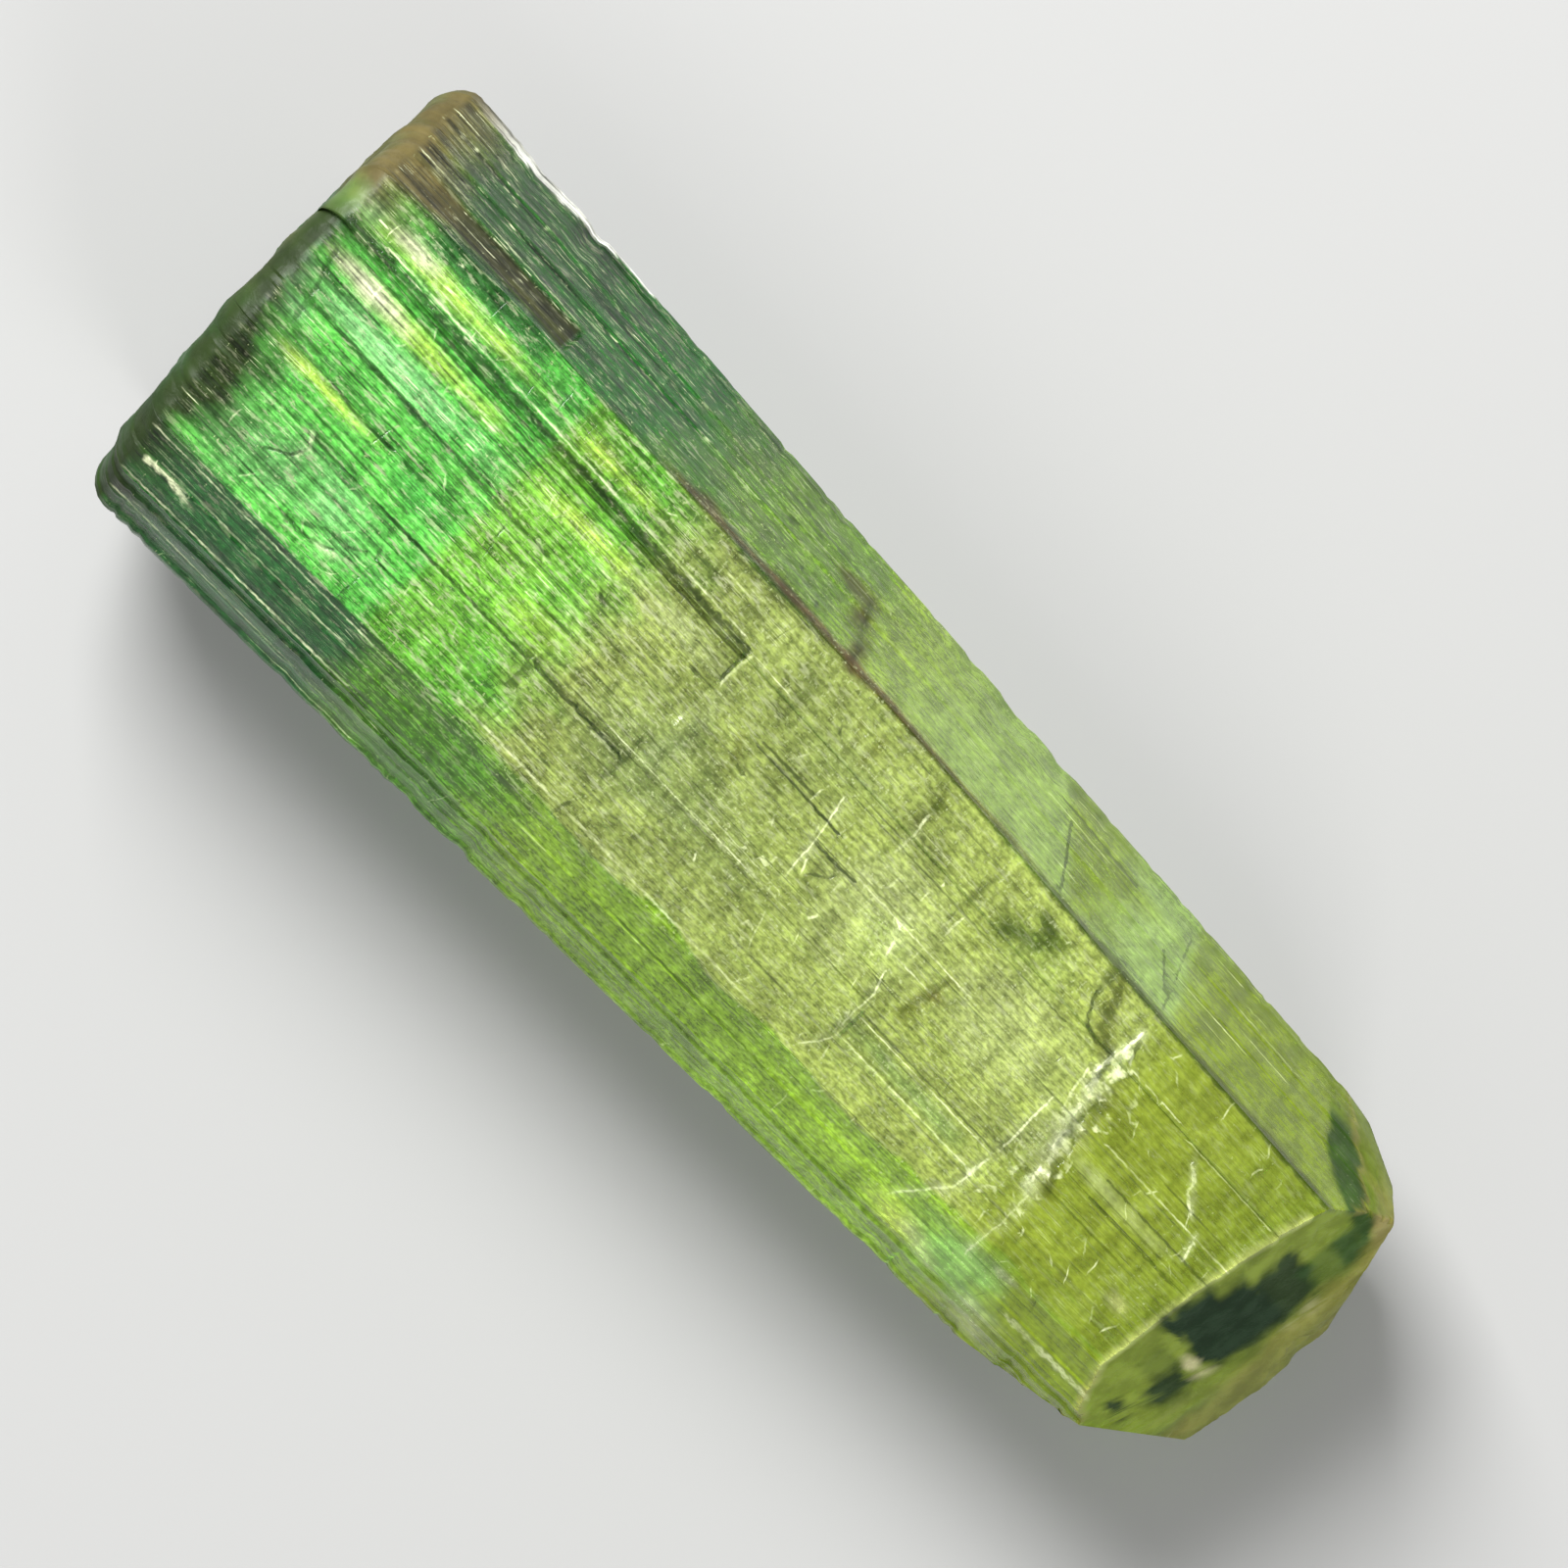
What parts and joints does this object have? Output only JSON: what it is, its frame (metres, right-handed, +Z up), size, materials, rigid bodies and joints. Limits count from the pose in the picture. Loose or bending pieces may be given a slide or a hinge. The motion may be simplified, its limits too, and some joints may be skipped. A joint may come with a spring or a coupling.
{
  "type": "tourmaline crystal",
  "caption": "Loose green tourmaline pencil: a clear, striated three-sided-to-six-sided prism with a broken base and a low bevelled termination, lying on a flat prism face.",
  "frame": {"origin": "centre of the box in plan, in the plane that the crystal rests on", "axes": "+X along the c-axis from the broken base towards the natural termination, +Y across towards the side with the ridge, +Z up from the face it lies on"},
  "size_m": [0.031, 0.0114, 0.0092],
  "materials": {
    "tourmaline": "clear natural crystal, emerald green at the base and yellow-green to olive at the tip, striated prism faces with a vitreous shine, a duller lumpy termination"
  },
  "bodies": {
    "root": {"crystal": "tourmaline"}
  },
  "joints": []
}
